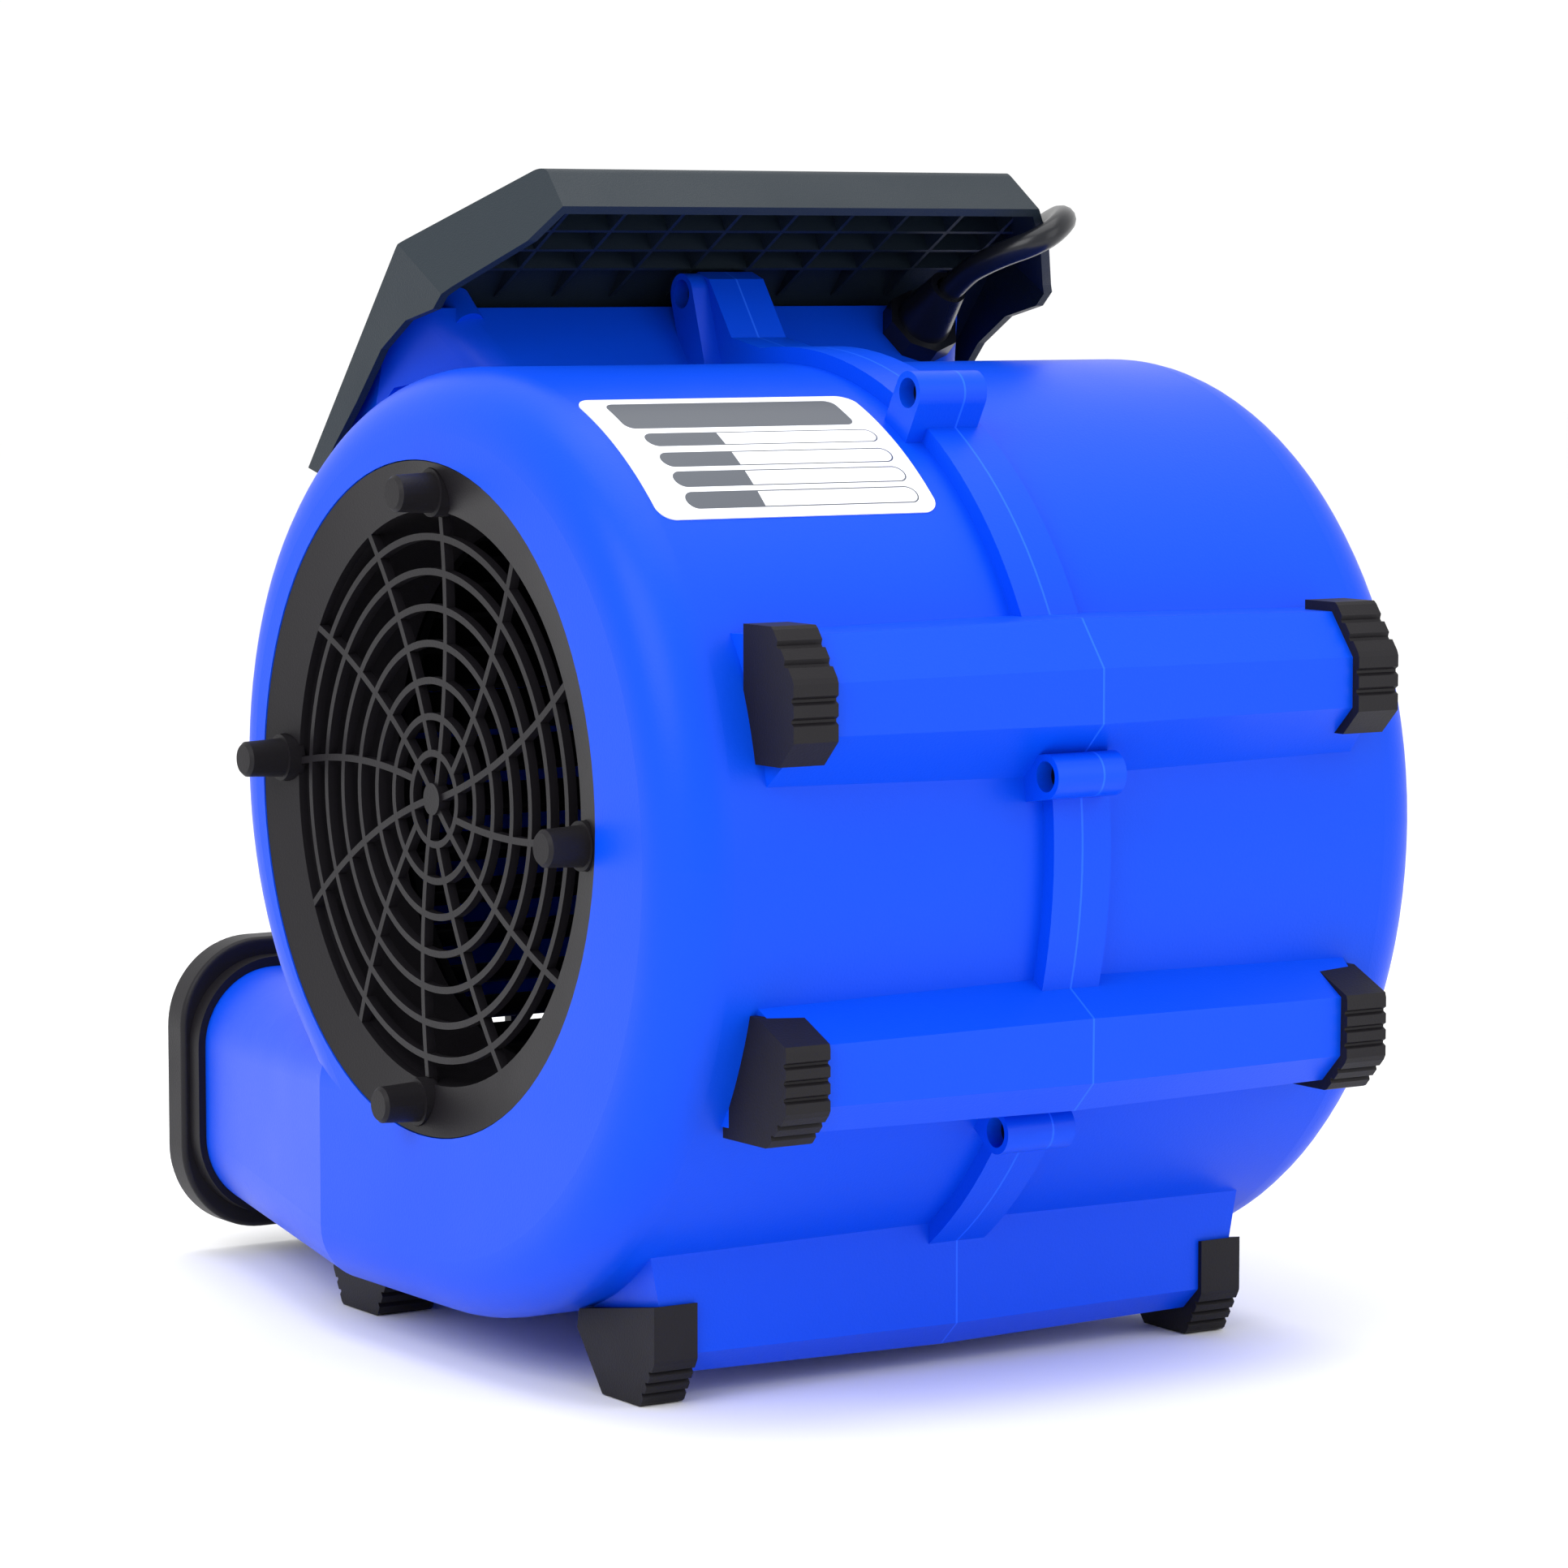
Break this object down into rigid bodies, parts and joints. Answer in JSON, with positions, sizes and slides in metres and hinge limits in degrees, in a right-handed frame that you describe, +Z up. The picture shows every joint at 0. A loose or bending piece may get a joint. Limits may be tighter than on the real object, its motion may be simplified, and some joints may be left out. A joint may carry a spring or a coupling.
{
  "type": "centrifugal carpet dryer",
  "caption": "Compact snail-shaped floor dryer: a motor-driven double-inlet fan wheel in a two-part housing, with inlet grilles, an outlet duct and a speed switch under a hood.",
  "frame": {"origin": "middle of the machine's footprint, on the floor", "axes": "+X towards the right inlet grille, -Y towards the air outlet, +Z up"},
  "size_m": [0.3657, 0.4168, 0.3282],
  "materials": {
    "shell_blue": "satin moulded polyethylene, fine moulding texture",
    "charcoal_plastic": "matt moulded plastic, bluish charcoal",
    "guard_plastic": "matt moulded plastic, near black",
    "foot_rubber": "dull black-brown rubber",
    "black_screw": "black oxide screw",
    "zinc_screw": "zinc plated screw",
    "shaft_steel": "ground steel",
    "motor_paint": "dark grey painted sheet",
    "shield_alloy": "cast aluminium alloy",
    "lamination": "stacked electrical steel",
    "winding_copper": "enamelled copper wire",
    "rotor_alloy": "laminated steel with cast aluminium end rings",
    "wheel_plastic": "matt black glass-filled nylon",
    "hub_alloy": "turned aluminium",
    "plate_film": "white printed film with grey panels, no lettering",
    "dial_film": "grey dial plate with plain marks and the numbers 0 to 3",
    "knob_plastic": "black knob with a white pointer line",
    "switch_case": "black phenolic switch body",
    "nut_steel": "nickel plated nut",
    "spindle_steel": "steel spindle",
    "capacitor_case": "off-white plastic can",
    "clip_steel": "zinc plated clip",
    "block_plastic": "pale nylon terminal block",
    "gland_plastic": "black moulded strain relief",
    "cord_rubber": "glossy black cable sheath",
    "plug_plastic": "black moulded plug",
    "pin_brass": "brass pins"
  },
  "bodies": {
    "machine": {"housing_right": "shell_blue", "housing_left": "shell_blue", "seam_screws": "black_screw", "inlet_grille_right": "guard_plastic", "inlet_grille_left": "guard_plastic", "side_feet_right": "foot_rubber", "side_feet_left": "foot_rubber", "grille_screws_right": "zinc_screw", "grille_screws_left": "zinc_screw", "outlet_frame": "guard_plastic", "outlet_frame_screws": "black_screw", "control_hood": "charcoal_plastic", "hood_screws": "black_screw", "dial_plate": "dial_film", "rotary_switch": "switch_case", "switch_nut": "nut_steel", "capacitor": "capacitor_case", "capacitor_clip": "clip_steel", "terminal_block": "block_plastic", "rating_plate": "plate_film", "upper_rail_feet": "foot_rubber", "lower_rail_feet": "foot_rubber", "base_rail_feet": "foot_rubber", "front_feet": "foot_rubber", "motor_mount": "motor_paint", "motor_mount_screws": "zinc_screw", "motor_screws": "zinc_screw", "motor_case": "motor_paint", "motor_end_shield_rear": "shield_alloy", "motor_end_shield_front": "shield_alloy", "motor_bearing_rear": "shaft_steel", "motor_bearing_front": "shaft_steel", "stator_core": "lamination", "stator_windings": "winding_copper", "gland_nut": "gland_plastic", "strain_relief": "gland_plastic", "power_cord": "cord_rubber", "cord_coil": "cord_rubber", "power_plug": "plug_plastic", "plug_pins": "pin_brass"},
    "rotor": {"impeller": "wheel_plastic", "impeller_hub": "hub_alloy", "hub_set_screw": "black_screw", "motor_shaft": "shaft_steel", "rotor_core": "rotor_alloy"},
    "knob": {"speed_knob": "knob_plastic", "switch_spindle": "spindle_steel"}
  },
  "joints": [
    {"name": "wheel_spin", "type": "hinge", "parent": "machine", "child": "rotor", "pos_m": [0, 0.026, 0.1573], "axis": [-1, 0, 0], "continuous": true},
    {"name": "speed_turn", "type": "hinge", "parent": "machine", "child": "knob", "pos_m": [0, -0.04407, 0.27957], "axis": [0, -0.7638, 0.6455], "range_deg": [0, 135]}
  ]
}
